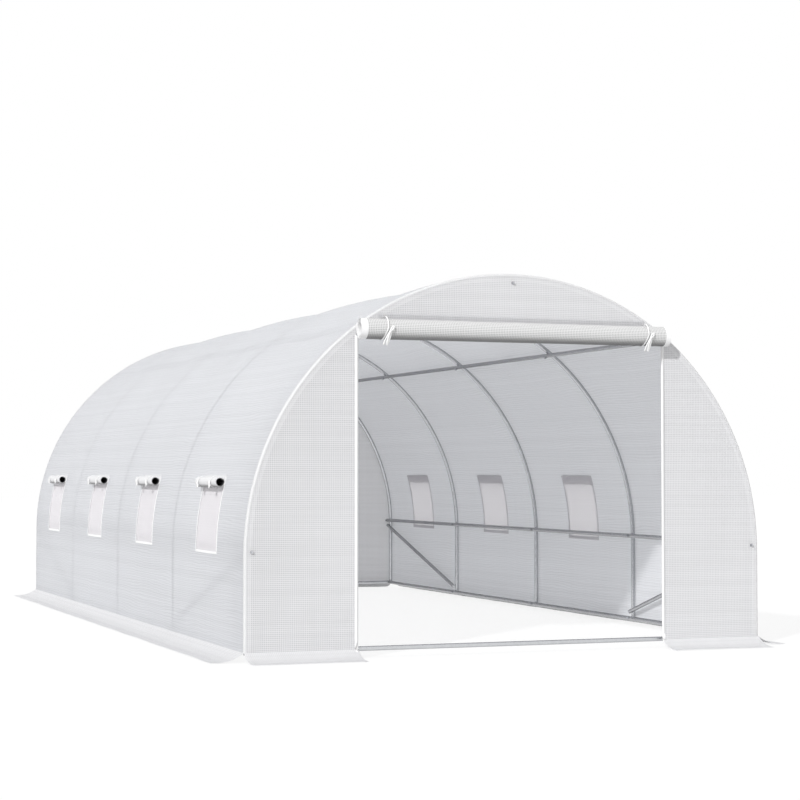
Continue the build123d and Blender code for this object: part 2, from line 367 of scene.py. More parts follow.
# Cover: one long sheet of woven film from the foot of one side wall over the roof to the foot
# of the other. It is pulled tight over the hoops and sinks between them.
film_thickness = 0.001
ridge_sag = 0.022
corner_radius = 0.012  # where the sheet turns round the end hoops
crease_depth = 0.0016
crease_size = (2.2, 5)  # creases in a metre, up the sheet and along it
crease_lean = 0.5  # inwards, as a share of the depth
sheet_cell = 0.042
merge_distance = 0.0001
window_width = 0.42
window_sill = 0.545
window_head = 0.93
grid_pitch = 0.01
ripple_pitch = 0.016  # between the fine ripples that run along the sheet
ripple_drift = 30  # of the ripples up and down the sheet, in radians
drift_size = (1.4, 6)  # bends of the ripples in a metre, along the sheet and up it
ripple_patch_size = 1.7  # patches with stronger ripples in a metre
ripple_patches = (0.35, 0.65)  # noise where the ripples are weakest and full
weakest_ripples = 0.25
ripple_shade = 0.045
rising_tapes = 0.35  # unevenness of the tapes up the sheet, as a share of those along it
film_squares = (0.805, 0.811, 0.825, 1)
film_tapes = (0.915, 0.92, 0.935, 1)
half_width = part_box("wall_right_1")[1].x
wall_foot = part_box("wall_right_1")[0].z
front_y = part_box("front_gable")[0].y
back_y = back_corner.y
bay_length = hoop_ys[1] - hoop_ys[0]
wall_rise = spring_z - wall_foot
girth = 2 * wall_rise + pi * half_width
window_ys = [(first + second) / 2 for first, second in zip(hoop_ys, hoop_ys[1:])]

film_group, given = new_group(
    "woven_film",
    {
        "Vector": "Vector", "Pitch": "Float", "Squares": "Color", "Tapes": "Color",
        "Tape Share": "Float", "Unevenness": "Float", "Ripples": "Float",
    },
    {"Colour": "Color", "Height": "Float"},
)
tree = film_group
cut = add_node(tree, "ShaderNodeSeparateXYZ", {"Vector": given["Vector"]}).outputs
ridges, shades = [], []
for number in range(2):
    cell = maths(tree, "DIVIDE", cut[number], given["Pitch"])
    wave = maths(tree, "PINGPONG", cell, 0.5)
    edge = maths(tree, "SUBTRACT", wave, maths(tree, "SUBTRACT", 0.5, given["Tape Share"]))
    slope = maths(tree, "DIVIDE", edge, maths(tree, "MULTIPLY", given["Tape Share"], 0.5))
    ridges.append(maths(tree, "MINIMUM", 1, maths(tree, "MAXIMUM", 0, slope)))
    index = maths(tree, "ADD", maths(tree, "FLOOR", maths(tree, "ADD", cell, 0.5)), 0.5)
    shade = add_node(tree, "ShaderNodeTexWhiteNoise", {"W": index}, noise_dimensions="1D")
    shades.append(maths(tree, "SUBTRACT", shade, 0.5))
ridge = maths(tree, "MAXIMUM", *ridges)
film_mixed = mix_colours(tree, ridge, given["Squares"], given["Tapes"])
both = maths(tree, "MULTIPLY_ADD", shades[0], rising_tapes, shades[1])
sockets = {"Vector": given["Vector"], "Scale": (*drift_size, 1)}
stretched = add_node(tree, "ShaderNodeMapping", sockets)
drift = maths(tree, "MULTIPLY", speckle(tree, stretched, 1, detail=3), ripple_drift)
ripple = maths(tree, "SINE", maths(tree, "MULTIPLY_ADD", cut[1], 2 * pi / ripple_pitch, drift))
patches = speckle(tree, given["Vector"], ripple_patch_size)
strength = ramp(tree, patches, *ripple_patches, start=weakest_ripples)
ripple = maths(tree, "MULTIPLY", ripple, maths(tree, "MULTIPLY", strength, given["Ripples"]))
uneven = maths(tree, "MULTIPLY_ADD", both, given["Unevenness"], 1)
uneven = maths(tree, "MULTIPLY_ADD", ripple, ripple_shade, uneven)
grey = add_node(tree, "ShaderNodeCombineXYZ", {0: uneven, 1: uneven, 2: uneven})
film_result = {
    "Colour": mix_colours(tree, 1, film_mixed, grey, "MULTIPLY"),
    "Height": maths(tree, "ADD", ridge, ripple),
}
add_node(tree, "NodeGroupOutput", film_result)


def film_material(
    name, squares, tapes, pitch=grid_pitch, tape_share=0.16, unevenness=0.04,
    glow_share=0.58, roughness=0.45, depth=0.0003, ripples=0,
    vary=lambda tree, place, squares: squares, finish=lambda tree, colour: colour, open_share=0,
):
    """Woven film that lets some light through. A net's holes are this share of its area."""
    material, tree = new_material(name)
    place = add_node(tree, "ShaderNodeUVMap", uv_map="cut")
    sockets = {
        "Vector": place, "Pitch": pitch, "Squares": vary(tree, place, squares), "Tapes": tapes,
        "Tape Share": tape_share, "Unevenness": unevenness, "Ripples": ripples,
    }
    film = use_group(tree, film_group, sockets)
    colour = finish(tree, film["Colour"])
    surface = surface_of(tree, colour, roughness, film["Height"], depth)
    through = add_node(tree, "ShaderNodeBsdfTranslucent", {"Color": colour})
    film_shader = mix_shaders(tree, glow_share, surface, through)
    if open_share:
        holes = add_node(tree, "ShaderNodeBsdfTransparent", {"Color": white})
        film_shader = mix_shaders(tree, open_share, film_shader, holes)
    show(tree, film_shader)
    return material


def stops(marks, step):
    """Stations at all the marks and evenly between them, none further apart than the step."""
    made = [marks[0]]
    for low, high in zip(marks, marks[1:]):
        count = max(1, ceil((high - low) / step))
        made += [low + (high - low) * number / count for number in range(1, count + 1)]
    return made


def end_mesh(work, name):
    """Mesh of what was worked on, under this name."""
    mesh = bpy.data.meshes.new(name)
    work.to_mesh(mesh)
    work.free()
    return mesh


def film_mesh(name, rows, cuts, keep=lambda row, column: True, material_of=lambda row, column: 0):
    """Sheet through rows of points, with each point's place on the flat sheet as its UV map.

    Rows crossed with columns point outwards. Its free edges are sharp.
    """
    work = bmesh.new()
    flat = work.loops.layers.uv.new("cut")
    grid = [[work.verts.new(point) for point in row] for row in rows]
    for row in range(len(rows) - 1):
        for column in range(len(rows[row]) - 1):
            if not keep(row, column):
                continue
            corners = ((row, column), (row + 1, column), (row + 1, column + 1), (row, column + 1))
            face = work.faces.new([grid[a][b] for a, b in corners])
            face.smooth = True
            face.material_index = material_of(row, column)
            for loop, (a, b) in zip(face.loops, corners):
                loop[flat].uv = cuts[a][b]
    bmesh.ops.remove_doubles(work, verts=work.verts[:], dist=merge_distance)
    bmesh.ops.delete(work, geom=[vert for vert in work.verts if not vert.link_faces], context="VERTS")
    for edge in work.edges:
        edge.smooth = len(edge.link_faces) > 1
    return end_mesh(work, name)


def new_piece(name, mesh, materials, thickness=0):
    """Piece of the greenhouse from a mesh, thickened inwards."""
    for material in materials:
        mesh.materials.append(material)
    piece = new_object(name, mesh)
    if thickness:
        solidify = piece.modifiers.new("thickness", "SOLIDIFY")
        solidify.thickness = thickness
        solidify.offset = -1
    return finish_piece(piece)


def arch_frame(along):
    """Point of the tunnel's section and the way out of it, this far from the left wall's foot."""
    if along < wall_rise:
        return Vector((-half_width, 0, wall_foot + along)), Vector((-1, 0, 0))
    if along > girth - wall_rise:
        return Vector((half_width, 0, wall_foot + girth - along)), Vector((1, 0, 0))
    angle = pi - (along - wall_rise) / half_width
    out = Vector((cos(angle), 0, sin(angle)))
    return Vector((0, 0, spring_z)) + out * half_width, out


def cover_point(along, y, lift=0):
    """Point of the cover's outer face, or this far out from it."""
    point, out = arch_frame(along)
    share = (y - hoop_ys[0]) / bay_length
    slack = 1 - abs(cos(pi * share))
    sag = ridge_sag * slack * out.z**2
    crease = noise.noise(Vector((along * crease_size[0], y * crease_size[1], 0)))
    sag += crease_depth * slack * (crease + crease_lean)
    into_corner = max(0, corner_radius - min(y - front_y, back_y - y))
    sag += corner_radius - sqrt(max(0, corner_radius**2 - into_corner**2))
    return point + out * (lift - sag) + Vector((0, y, 0))


def along_at_height(z):
    """How far up the left side of the cover this height lies."""
    if z < spring_z:
        return z - wall_foot
    return wall_rise + half_width * asin((z - spring_z) / half_width)


sill_along = along_at_height(window_sill)
head_along = along_at_height(window_head)
side_marks = sorted([0, sill_along, wall_rise, head_along])
along_stops = stops(
    side_marks + [girth / 2] + [girth - mark for mark in reversed(side_marks)], sheet_cell
)
corner_marks = [corner_radius * share for share in (0, 0.08, 0.3, 0.6, 1)]
y_marks = [front_y + mark for mark in corner_marks] + [back_y - mark for mark in corner_marks]
y_marks += hoop_ys[1:-1] + window_ys
y_marks += [y + side * window_width / 2 for y in window_ys for side in (-1, 1)]
y_stops = stops(sorted(y_marks), sheet_cell)


def beside_windows(row, column):
    """True for a cell of the cover's mesh that lies in no window."""
    along = (along_stops[row] + along_stops[row + 1]) / 2
    y = (y_stops[column] + y_stops[column + 1]) / 2
    side_along = min(along, girth - along)
    in_width = any(abs(y - window_y) < window_width / 2 for window_y in window_ys)
    return not (in_width and sill_along < side_along < head_along)


cover_film = film_material(
    "cover_film", film_squares, film_tapes, unevenness=0.035, glow_share=0.64, ripples=1
)
cover_mesh = film_mesh(
    "cover",
    [[cover_point(along, y) for y in y_stops] for along in along_stops],
    [[(y, along) for y in y_stops] for along in along_stops],
    beside_windows,
)
cover = new_piece("cover", cover_mesh, [cover_film], film_thickness)
bays = range(1, 5)
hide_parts(*(f"{name}_{bay}" for name in ("wall_left", "wall_right", "roof") for bay in bays))
cover_length = back_y - front_y

# End walls: a sheet of the same film is sewn into each end. The front one has the doorway cut
# out of it, up to a straight head.
end_radius = half_width - corner_radius
end_step = 0.028  # between the columns of the mesh, as an angle of the arch
end_rows = 34
gable_rows = 8
end_crease_depth = 0.003
end_crease_size = (2.6, 1.7)
end_crease_lean = 0.6
crease_fade = 6  # how fast the creases fade towards every edge, in a metre
front_squares = (0.69, 0.69, 0.7, 1)
slack_squares = (0.73, 0.73, 0.74, 1)  # where the grid shows less
seam_squares = (0.8, 0.8, 0.81, 1)  # two layers along the seam
front_tapes = (0.93, 0.93, 0.94, 1)
seam_width = 0.026
grid_patch_size = 0.9  # patches of plainer grid in a metre
patch_range = (0.38, 0.62)  # noise where the grid is strong and plain
patch_lean = 0.16  # the grid gets plainer to the right
gable_lean = 0.1  # and above the doorway
jamb_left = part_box("front_panel_left")[1].x
jamb_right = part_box("front_panel_right")[0].x
head_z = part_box("front_gable")[0].z


def end_wall(name, y, out, material, nodes, doorway):
    """Arch-shaped sheet at this end of the tunnel."""
    angle_of = lambda x: acos(-x / end_radius)
    head_half = sqrt(end_radius**2 - (head_z - spring_z) ** 2)
    marks = [angle_of(x) for x in (-head_half, jamb_left, jamb_right, head_half)]
    angles = stops([0] + marks + [pi], end_step)
    rows, cuts = [], []
    for angle in angles:
        x = -end_radius * cos(angle)
        top = spring_z + end_radius * sin(angle)
        low_top = min(head_z, top)
        heights = [wall_foot + (low_top - wall_foot) * k / end_rows for k in range(end_rows + 1)]
        heights += [low_top + (top - low_top) * k / gable_rows for k in range(1, gable_rows + 1)]
        row = []
        for z in heights:
            to_edge = min(end_radius - abs(x), max(0, top - z), z - wall_foot)
            depth = end_crease_depth * min(1, crease_fade * to_edge)
            crease = noise.noise(Vector((x * end_crease_size[0], z * end_crease_size[1], y)))
            row.append(Vector((x, y - out * depth * (crease + end_crease_lean), z)))
        rows.append(row)
        cuts.append([(x, z) for z in heights])
    kept = lambda row, column: not (
        doorway
        and column < end_rows
        and jamb_left < -end_radius * cos((angles[row] + angles[row + 1]) / 2) < jamb_right
    )
    mesh = film_mesh(name, rows, cuts, kept)
    if out > 0:
        mesh.flip_normals()
    piece = new_piece(name, mesh, [material], film_thickness)
    area = 2 * half_width * wall_rise + pi * half_width**2 / 2
    if doorway:
        area -= (jamb_right - jamb_left) * (head_z - wall_foot)
    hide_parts(*nodes)


def end_squares(tree, place, squares):
    """Colour of the squares of an end wall: plainer in patches, and paler along the seam."""
    patch = speckle(tree, place, grid_patch_size, detail=1)
    cut = add_node(tree, "ShaderNodeSeparateXYZ", {"Vector": place}).outputs
    in_gable = maths(tree, "GREATER_THAN", cut[1], head_z)
    leaning = maths(tree, "MULTIPLY_ADD", cut[0], patch_lean, patch)
    leaning = maths(tree, "MULTIPLY_ADD", in_gable, gable_lean, leaning)
    sheet = mix_colours(tree, ramp(tree, leaning, *patch_range), squares, slack_squares)
    rise = maths(tree, "MAXIMUM", maths(tree, "SUBTRACT", cut[1], spring_z), 0)
    rise_squared = maths(tree, "MULTIPLY", rise, rise)
    reach = maths(tree, "SQRT", maths(tree, "MULTIPLY_ADD", cut[0], cut[0], rise_squared))
    in_seam = maths(tree, "GREATER_THAN", reach, end_radius - seam_width)
    return mix_colours(tree, in_seam, sheet, seam_squares)


end_weave = {"tape_share": 0.17, "unevenness": 0.032, "depth": 0.0005}
end_film = film_material(
    "end_film", front_squares, front_tapes, glow_share=0.35, vary=end_squares, **end_weave
)
back_film = film_material("back_film", slack_squares, front_tapes, glow_share=0.64, **end_weave)
end_wall(
    "front_wall", front_y, -1, end_film,
    ["front_panel_left", "front_panel_right", "front_gable"], True,
)
end_wall("back_wall", back_y, 1, back_film, ["back_panel"], False)

# Bindings: white tape folded over the seam between the cover and each end wall, and over both
# edges of the doorway. The doorway's tape runs on down the end of the ground flap.
tape_white = (0.95, 0.95, 0.96, 1)
seam_tape = (0.83, 0.83, 0.84, 1)
tape_weave_pitch = 0.0014
tape_thickness = 0.0008
tape_on_cover = 0.003
tape_on_end = 0.001
tape_turns = 6  # flats round the corner
jamb_tape_width = 0.016
jamb_tape_lift = 0.0012
flap_reach = front_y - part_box("skirt_front_left")[0].y
flap_lip = 0.035
flap_thickness = 0.002


def lengths_along(points):
    """How far along a line each of its points lies."""
    lengths = [0]
    for first, second in zip(points, points[1:]):
        lengths.append(lengths[-1] + dist(first, second))
    return lengths


def swept_mesh(name, frames, profile, closed=False):
    """Strip or bar with one profile along a path. A frame is a point and its two directions."""
    if closed:
        profile = profile + profile[:1]
    rows = [[point + across * a + out * b for a, b in profile] for point, across, out in frames]
    around = lengths_along(profile)
    path = lengths_along([point for point, _, _ in frames])
    mesh = film_mesh(name, rows, [[(walked, turned) for turned in around] for walked in path])
    if closed:
        close_ends(mesh)
    return mesh


def close_ends(mesh):
    """Fills the two open ends of a bar and turns its faces outwards."""
    work = bmesh.new()
    work.from_mesh(mesh)
    bmesh.ops.holes_fill(work, edges=[edge for edge in work.edges if edge.is_boundary])
    bmesh.ops.recalc_face_normals(work, faces=work.faces[:])
    work.to_mesh(mesh)
    work.free()


def joined(name, meshes):
    """One mesh of several."""
    work = bmesh.new()
    for mesh in meshes:
        work.from_mesh(mesh)
        bpy.data.meshes.remove(mesh)
    return end_mesh(work, name)


tape_film = film_material(
    "binding_tape", tape_white, white, pitch=tape_weave_pitch, tape_share=0.3,
    unevenness=0.03, glow_share=0.12, roughness=0.4, depth=0.0001,
)
seam_film = film_material(
    "seam_tape", seam_tape, white, pitch=tape_weave_pitch, tape_share=0.2,
    unevenness=0.05, glow_share=0.45, roughness=0.5, depth=0.0001,
)
arch_stops = stops([0, wall_rise, girth - wall_rise, girth], sheet_cell)
for name, y, inwards in (("front_binding", front_y, 1), ("back_binding", back_y, -1)):
    reach = corner_radius + tape_thickness
    profile = [(corner_radius + tape_on_cover, tape_thickness)]
    for turn in range(tape_turns + 1):
        angle = pi / 2 * turn / tape_turns
        profile.append((corner_radius - reach * sin(angle), reach * cos(angle) - corner_radius))
    profile.append((-tape_thickness, -corner_radius - tape_on_end))
    frames = []
    for along in arch_stops:
        point, out = arch_frame(along)
        frames.append((point + Vector((0, y, 0)), Vector((0, inwards, 0)), out))
    if inwards > 0:
        profile.reverse()
    new_piece(name, swept_mesh(name, frames, profile), [seam_film], tape_thickness / 2)

flap_flare = flap_reach - flap_lip
flap_radius = (flap_flare**2 + wall_foot**2) / (2 * wall_foot)


def flap_profile(steps=9, lip_steps=2):
    """Distance from the wall, height and slope of a flap's upper face, from the seam outwards."""
    span = asin(flap_flare / flap_radius)
    made = []
    for step in range(steps + 1):
        angle = span * (1 - step / steps)
        radius = flap_radius - flap_thickness
        made.append((flap_flare - radius * sin(angle), flap_radius - radius * cos(angle), angle))
    for step in range(1, lip_steps + 1):
        made.append((flap_flare + flap_lip * step / lip_steps, flap_thickness, 0))
    return made


for side, jamb, sign in (("left", jamb_left, 1), ("right", jamb_right, -1)):
    across = Vector((sign, 0, 0))
    frames = []
    for drop in stops([0, head_z - wall_foot], sheet_cell):
        frames.append((Vector((jamb, front_y, head_z - drop)), across, Vector((0, -1, 0))))
    for out, height, slope in flap_profile():
        normal = Vector((0, -sin(slope), cos(slope)))
        frames.append((Vector((jamb, front_y - out, height)), across, normal))
    lift = jamb_tape_lift
    behind = -lift - film_thickness
    profile = [(-jamb_tape_width, behind), (lift, behind), (lift, lift), (-jamb_tape_width, lift)]
    name = f"jamb_binding_{side}"
    new_piece(name, swept_mesh(name, frames, profile, closed=True), [tape_film])

# Ground flaps: strips of the film sewn along the foot of every wall. They flare out, and their
# free edge lies on the ground, in shallow waves.
flap_wave_depth = 0.012
flap_wave_size = 2.4  # waves in a metre
flap_squares = (0.76, 0.76, 0.77, 1)
flap_film = film_material(
    "flap_film", flap_squares, front_tapes, tape_share=0.14, glow_share=0.35, depth=0.0004
)


def ground_flap(side, corner, along, out, length):
    """Flap from a corner of the wall's foot, running this way, flaring out the other way."""
    profile = [(distance, height) for distance, height, _ in flap_profile()]
    reaches = lengths_along(profile)
    rows, cuts = [], []
    for place in stops([0, length], sheet_cell):
        row = []
        for distance, height in profile:
            point = corner + along * place + out * distance
            share = distance / flap_reach
            wave = noise.noise(Vector((point.x, point.y, distance)) * flap_wave_size)
            point.z = height + flap_wave_depth * share * (1 - share / 2) * abs(wave)
            row.append(point)
        rows.append(row)
        cuts.append([(place, reach) for reach in reaches])
    name = f"ground_flap_{side}"
    piece = new_piece(name, film_mesh(name, rows, cuts), [flap_film], film_thickness)
    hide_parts(f"skirt_{side}")


ways = {
    "right": ((half_width, front_y), (0, 1), (1, 0), cover_length),
    "left": ((-half_width, back_y), (0, -1), (-1, 0), cover_length),
    "back": ((half_width, back_y), (-1, 0), (0, 1), 2 * half_width),
    "front_left": ((-half_width, front_y), (1, 0), (0, -1), jamb_left + half_width),
    "front_right": ((jamb_right, front_y), (1, 0), (0, -1), half_width - jamb_right),
}
for side, (*flat_places, length) in ways.items():
    ground_flap(side, *(Vector((*place, 0)) for place in flat_places), length)

# Door: the leaf is sewn to the gable along its top edge and rolled up outwards. Both side edges
# have a wide white hem, which shows as a band at each end of the roll.
door_pitch = 0.0034
door_hem = 0.031
door_corner = 0.12  # at each end, where the flat part above the roll is cut away
door_wobble = 0.0012
door_grid_pitch = 0.0094
door_layer = 0.0013
door_droop = 0.0055  # of the inner turns inside the outermost one
# Painted shade under each roll: from this share of the radius below the axis, the colour darkens
# towards the bottom.
painted_shade_start = 0.3  # of the radius, below the axis
painted_shade_share = 0.85
painted_shade_colour = (0.1, 0.1, 0.1, 1)
door_squares = (0.48, 0.48, 0.48, 1)
door_tapes = (0.87, 0.87, 0.87, 1)
door_squash = 0.88  # the hanging roll is this much as deep as it is high
roll_steps = 44  # flats in one turn
bulge_size = (5, 40)  # bulges of the rolls in a metre, along them and between radii
seat_gap = 0.001  # between the roll and the sheet that it hangs on
door_low, door_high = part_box("door_roll")
door_radius = (front_y - door_low.y) / 2
door_centre_z = door_low.z + door_radius
door_turns = 5.7
flat_columns = 2  # of the leaf's mesh, between its seam with the gable and the roll


def underside(centre_z, radius):
    """Finish of a roll with painted shade, darker below its axis towards the bottom."""

    def darker(tree, colour):
        place = add_node(tree, "ShaderNodeTexCoord").outputs["Object"]
        height = add_node(tree, "ShaderNodeSeparateXYZ", {"Vector": place}).outputs[2]
        top, foot = centre_z - radius * painted_shade_start, centre_z - radius
        # Painted shade, darker towards the bottom of the roll.
        painted_shade = ramp(tree, height, top, foot, end=painted_shade_share, kind="SMOOTHSTEP")
        return mix_colours(tree, painted_shade, colour, painted_shade_colour)

    return darker


def wound_rows(seat, out, up, radius, pitch, turns, rise, marks, wobble, droop=0):
    """Rows and cuts of a sheet that hangs down a wall and is wound up round an axis beside it.

    The way out is shorter than 1 for a roll that is less deep than high.
    """
    axis = up.cross(out).normalized()
    profile = [(0, radius + rise), (0, radius), (0, radius / 2)]
    first_wound = len(profile)
    for step in range(int(turns * roll_steps) + 1):
        angle = pi + 2 * pi * step / roll_steps
        sunk = droop * min(1, step / roll_steps)
        size = radius - pitch * step / roll_steps - sunk
        profile.append((radius + size * cos(angle), size * sin(angle) - sunk))
    flat = lengths_along([(outwards * out.length, height) for outwards, height in profile])
    rows, cuts = [], []
    for place in marks:
        row = []
        for number, (outwards, height) in enumerate(profile):
            turn_share = min(1, max(0, (number - first_wound) / roll_steps))
            spot = (place * bulge_size[0], number / roll_steps, radius * bulge_size[1])
            shift = wobble * noise.noise(Vector(spot)) * turn_share
            row.append(seat + axis * place + out * (outwards + shift) + up * (height + shift))
        rows.append(row)
        cuts.append([(place, distance) for distance in flat])
    return rows, cuts


door_film = film_material(
    "door_film", door_squares, door_tapes, pitch=door_grid_pitch, glow_share=0.04,
    depth=0.0006, finish=underside(door_centre_z, door_radius),
)
door_out = Vector((0, -door_squash, 0))
door_length = door_high.x - door_low.x
door_ends = (0, door_hem, door_corner)
door_marks = stops(
    [*door_ends, *(door_length - end for end in reversed(door_ends))], sheet_cell
)
door_rows, door_cuts = wound_rows(
    Vector((door_low.x, front_y - seat_gap, door_centre_z)), door_out, Vector((0, 0, 1)),
    door_radius - seat_gap, door_pitch, door_turns, door_high.z - door_centre_z - door_radius,
    door_marks, door_wobble, door_droop,
)


def door_kept(row, column):
    """The flat part of the leaf stops short of both ends of the roll."""
    beside = door_marks[row] < door_corner or door_marks[row + 1] > door_length - door_corner
    return column >= flat_columns or not beside


def door_part(row, column):
    """Film of this cell: the wound part, its hem, or the part that hangs flat above the roll."""
    if column < flat_columns:
        return 2
    in_hem = door_marks[row + 1] <= door_hem + merge_distance
    return int(in_hem or door_marks[row] >= door_length - door_hem - merge_distance)


flat_film = film_material(
    "door_film_flat", slack_squares, front_tapes, tape_share=0.17, unevenness=0.05, depth=0.0005
)
door_mesh = film_mesh("door_leaf", door_rows, door_cuts, door_kept, door_part)
door_leaf = new_piece("door_leaf", door_mesh, [door_film, tape_film, flat_film], door_layer)
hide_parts("door_roll")

# Door ties: a white cotton tape sewn into the gable goes round each side of the roll and is tied
# in front in a bow, whose ends hang down below the roll.
tie_width = 0.008
tie_thickness = 0.0012
tie_lean = 0.022  # of the tape under the roll, to the left
tie_half_width = 0.006
tie_end_angle = 140  # of the tape's two ends round the roll, up and down from its front
tie_steps = 30
bow_width = 0.01
bow_steps = 24
bow_swell = 0.002
knot_radius = 0.0055
knot_lump_size = 260  # lumps in a metre
knot_lump_share = 0.25
knot_place = (0.01, -0.016)  # from the front of the tape, along the roll and upwards
door_bows = ((0.017, 0.023), (-0.041, -0.074), (-0.023, -0.076))  # ends, seen from the knot
tie_white = (0.97, 0.97, 0.97, 1)
tie_film = film_material(
    "tie_tape", tie_white, white, pitch=0.0012, tape_share=0.3, unevenness=0.05,
    glow_share=0.1, roughness=0.6, depth=0.0001,
)
ribbon = [(x * tie_width / 2, y * tie_thickness / 2) for x, y in square]


def path_frames(points, out_of):
    """Frames along a line of points, flat side towards what out_of gives."""
    frames = []
    for number, point in enumerate(points):
        before = points[max(0, number - 1)]
        after = points[min(len(points) - 1, number + 1)]
        out = out_of(point)
        frames.append((point, (after - before).cross(out).normalized(), out))
    return frames


def knot_mesh(place, radius):
    """Small lumpy ball of tape."""
    ball = bmesh.new()
    bmesh.ops.create_icosphere(ball, subdivisions=3, radius=radius)
    for vert in ball.verts:
        lump = knot_lump_share * noise.noise(vert.co * knot_lump_size)
        vert.co = vert.co * (1 + lump) + place
    for face in ball.faces:
        face.smooth = True
    ball.loops.layers.uv.new("cut")
    return end_mesh(ball, "knot")


def tie_roll(name, centre, out, up, radius, bows, scale=1):
    """Tape round a roll at this point of its axis, with a bow of loops that end at these places."""
    axis = up.cross(out).normalized()
    ring = []
    for step in range(tie_steps + 1):
        angle = radians(tie_end_angle * (1 - 2 * step / tie_steps))
        point = centre + out * (radius + tie_thickness) * cos(angle)
        point += up * (radius + tie_thickness) * sin(angle)
        ring.append(point + axis * tie_lean * scale * min(0, sin(angle)))
    away = lambda point: (point - centre - axis * (point - centre).dot(axis)).normalized()
    meshes = [swept_mesh("tape", path_frames(ring, away), ribbon, closed=True)]
    along, upwards = knot_place
    knot = centre + out * (radius + 2 * tie_thickness + knot_radius / 2)
    knot += (axis * along + up * upwards) * scale
    meshes.append(knot_mesh(knot, knot_radius * scale))
    for number, (along, upwards) in enumerate(bows):
        end = (axis * along + Vector((0, 0, upwards))) * scale
        beside = end.cross(out).normalized() * bow_width * scale / 2
        loop = []
        for step in range(bow_steps + 1):
            angle = 2 * pi * step / bow_steps
            lift = out * (tie_thickness * (2 * number + 1) + bow_swell * sin(angle))
            loop.append(knot + end * (1 - cos(angle)) / 2 + beside * sin(angle) + lift)
        meshes.append(swept_mesh("loop", path_frames(loop, lambda point: out), ribbon, closed=True))
    return new_piece(name, joined(name, meshes), [tie_film])


door_axis_y = front_y - door_radius * door_squash - seat_gap
tie_low, tie_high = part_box("door_ties")
for side, spot in (("left", tie_low.x + tie_half_width), ("right", tie_high.x - tie_half_width)):
    tie = tie_roll(
        f"door_tie_{side}", Vector((spot, door_axis_y, door_centre_z)), door_out,
        Vector((0, 0, 1)), door_radius, door_bows,
    )
    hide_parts("door_ties")

# Windows: each opening has insect mesh sewn in behind it and a sewn border in front. Its flap is
# rolled up above it and held by two short tape ties.
border_width = 0.014
border_lift = 0.0008
screen_overlap = 0.02
screen_thickness = 0.0006
screen_gap = 0.0008  # behind the cover
patch_cell = 0.03
window_radius = 0.03
window_pitch = 0.0032
window_turns = 2.9
window_layer = 0.0027
window_rise = 0.014
window_roll_length = 2 * (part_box("window_rolls_left")[1].y - window_ys[-1])
window_roll_cell = 0.045
window_roll_z = 0.912
window_wobble = 0.0006
window_tie_inset = 0.09
window_bows = ((-0.012, -0.06), (0.034, -0.05))
window_tie_scale = 0.55
screen_pink = (0.95, 0.92, 0.95, 1)
screen_threads = (0.97, 0.955, 0.97, 1)
roll_squares = (0.74, 0.74, 0.75, 1)
roll_tapes = (0.84, 0.84, 0.85, 1)
# Near-black film on the innermost turn of each window roll: painted shade for the dark inside of the
# roll.
roll_inside_shade = (0.035, 0.035, 0.038, 1)
screen_mesh_film = film_material(
    "screen_mesh", screen_pink, screen_threads, pitch=0.0016, tape_share=0.2,
    glow_share=0.25, roughness=0.7, depth=0.0002, open_share=0.42,
)
window_axis_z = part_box("window_rolls_left")[0].z + window_radius
roll_film = film_material(
    "window_roll_film", roll_squares, roll_tapes, glow_share=0.1,
    finish=underside(window_axis_z, window_radius),
)
painted_shade_film = film_material("roll_inside_shade", roll_inside_shade, roll_inside_shade, glow_share=0, roughness=0.7)


def place_on(side, along):
    """How far along the cover a place lies that is this far up the wall on one side."""
    return along if side == "left" else girth - along


def cover_patch(name, side, alongs, ys, lift, keep=lambda row, column: True):
    """Mesh that follows the cover on one side."""
    rows = [[cover_point(place_on(side, along), y, lift) for y in ys] for along in alongs]
    mesh = film_mesh(name, rows, [[(y, along) for y in ys] for along in alongs], keep)
    if side == "right":
        mesh.flip_normals()
    return mesh


def window_screen(name, side, low_y, high_y):
    """Insect mesh behind the opening, sewn to the cover all round."""
    alongs = stops([sill_along - screen_overlap, head_along + screen_overlap], patch_cell)
    ys = stops([low_y - screen_overlap, high_y + screen_overlap], patch_cell)
    mesh = cover_patch(name, side, alongs, ys, -film_thickness - screen_gap)
    screen = new_piece(name, mesh, [screen_mesh_film], screen_thickness)
    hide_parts(f"window_screens_{side}")


def window_border(name, side, low_y, high_y):
    """Tape sewn round the opening's edge."""
    along_marks = [sill_along - border_width, sill_along, head_along, head_along + border_width]
    alongs = stops(along_marks, patch_cell)
    ys = stops([low_y - border_width, low_y, high_y, high_y + border_width], patch_cell)
    outside = lambda row, column: not (
        sill_along < (alongs[row] + alongs[row + 1]) / 2 < head_along
        and low_y < (ys[column] + ys[column + 1]) / 2 < high_y
    )
    mesh = cover_patch(name, side, alongs, ys, border_lift, outside)
    new_piece(name, mesh, [tape_film], border_lift / 2)


